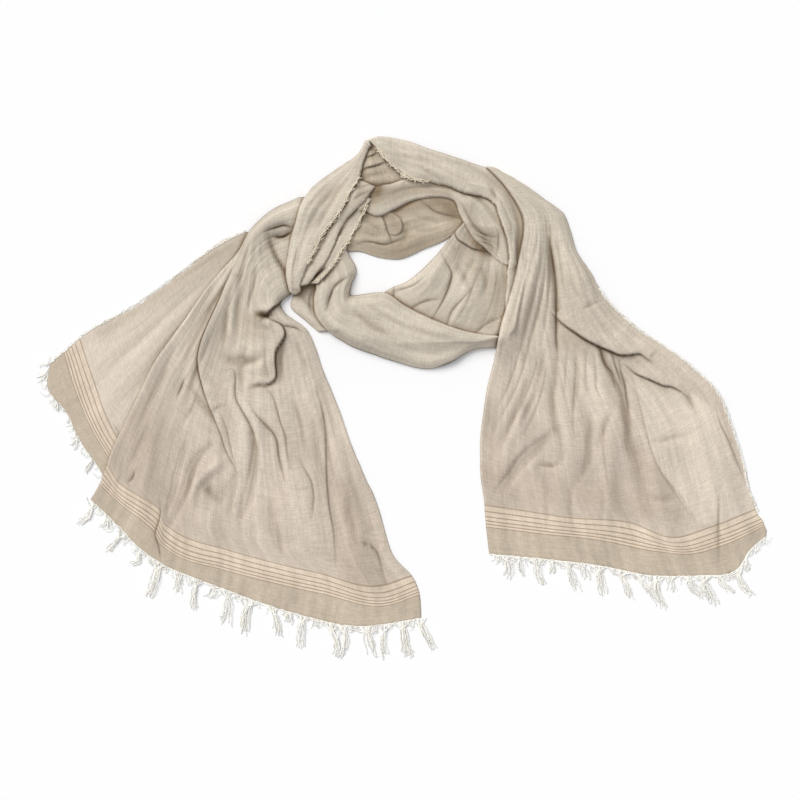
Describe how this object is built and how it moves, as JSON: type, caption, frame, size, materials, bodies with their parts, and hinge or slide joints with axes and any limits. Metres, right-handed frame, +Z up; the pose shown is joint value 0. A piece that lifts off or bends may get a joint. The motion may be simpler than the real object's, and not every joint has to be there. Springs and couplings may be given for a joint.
{
  "type": "linen scarf",
  "caption": "Crinkled linen gauze scarf laid flat, wound once into a loop with both striped and fringed ends spread out.",
  "frame": {"origin": "middle of the laid-out scarf, on the surface that it lies on", "axes": "+X towards the right end, +Y towards the top of the loop, +Z up from the surface"},
  "size_m": [0.8839, 0.6263, 0.0347],
  "materials": {
    "linen_double": "washed linen gauze, two layers, matt",
    "linen_single": "washed linen gauze, one layer, matt",
    "linen_shaded": "washed linen gauze, several layers, matt",
    "fringe_thread": "undyed linen and cotton threads"
  },
  "bodies": {
    "root": {"left_end_under": "linen_single", "left_end_front": "linen_double", "right_end": "linen_double", "crown_band": "linen_double", "apex_lining": "linen_shaded", "lapel": "linen_double", "lapel_inner": "linen_double", "lapel_under": "linen_double", "front_band": "linen_double", "tuck": "linen_shaded", "inner_strand": "linen_double", "collar_roll": "linen_double", "nape_panel": "linen_shaded", "fringe_left_under": "fringe_thread", "fringe_left_front": "fringe_thread", "fringe_right": "fringe_thread"}
  },
  "joints": []
}
